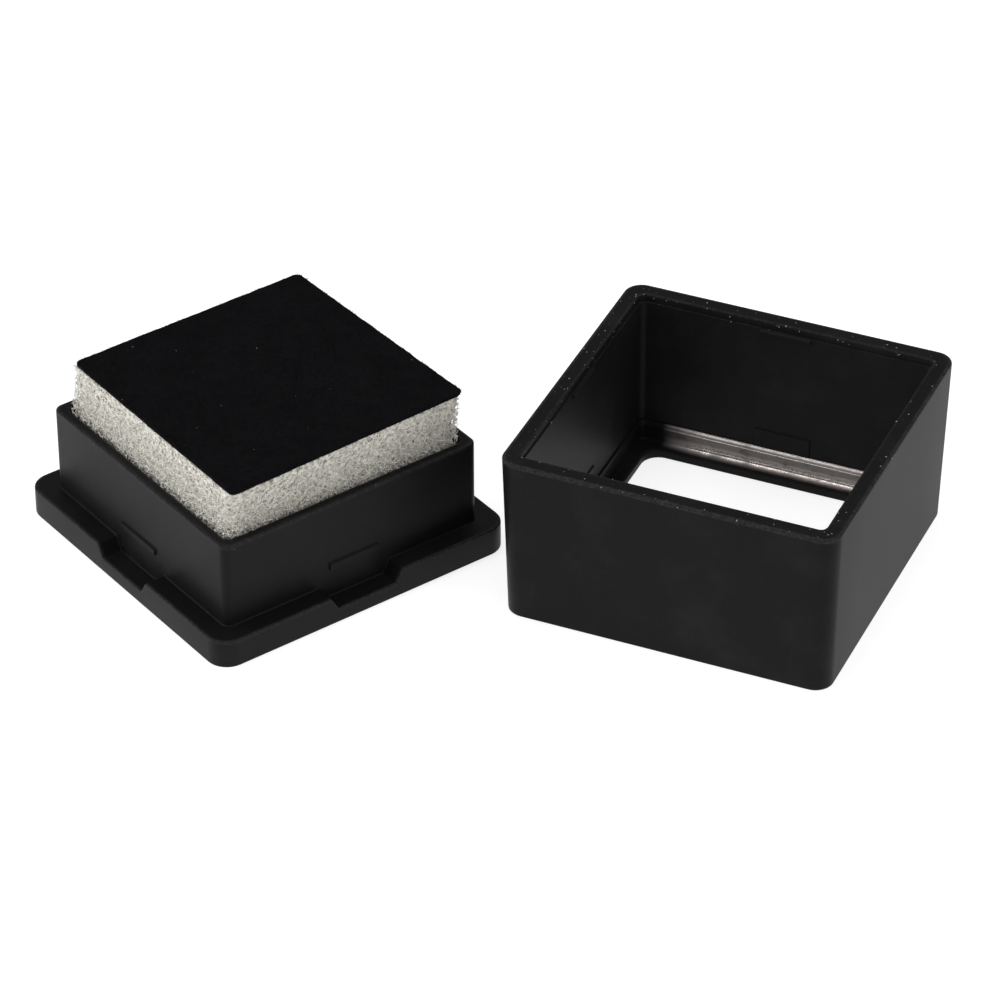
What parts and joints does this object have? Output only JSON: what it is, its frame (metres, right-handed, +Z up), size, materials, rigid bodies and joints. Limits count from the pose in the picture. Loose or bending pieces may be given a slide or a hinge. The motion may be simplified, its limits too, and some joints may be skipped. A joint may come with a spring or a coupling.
{
  "type": "ink pad",
  "caption": "Square foam ink pad in a black flanged tray with thumb notches; its loose square cover, open at the rim with a window in the far end, lies rim up beside it.",
  "frame": {"origin": "middle of the underside of the laid-out set's box, on the surface that it stands on", "axes": "+X from the middle of the tray to the middle of the loose cover, +Z up, +Y away from whoever uses the pad"},
  "size_m": [0.1308, 0.068, 0.0263],
  "materials": {
    "tray_plastic": "satin moulded black",
    "sponge_foam": "open-cell foam, pale warm grey",
    "ink_cloth": "short pile, soaked with black ink",
    "cover_plastic": "satin moulded black"
  },
  "bodies": {
    "tray": {"tray": "tray_plastic"},
    "pad": {"sponge": "sponge_foam"},
    "pad_face": {"ink_surface": "ink_cloth"},
    "cover": {"cover": "cover_plastic"}
  },
  "joints": [
    {"name": "pad_lift", "type": "slide", "parent": "tray", "child": "pad", "axis": [0, 0, 1], "range_m": [0, 0.02]},
    {"name": "pad_press", "type": "slide", "parent": "pad", "child": "pad_face", "axis": [0, 0, -1], "range_m": [0, 0.0035], "stiffness_N_per_m": 2500, "deforming": ["sponge"]},
    {"name": "cover_lift", "type": "slide", "parent": "tray", "child": "cover", "axis": [0, 0, 1], "range_m": [0, 0.04]}
  ]
}
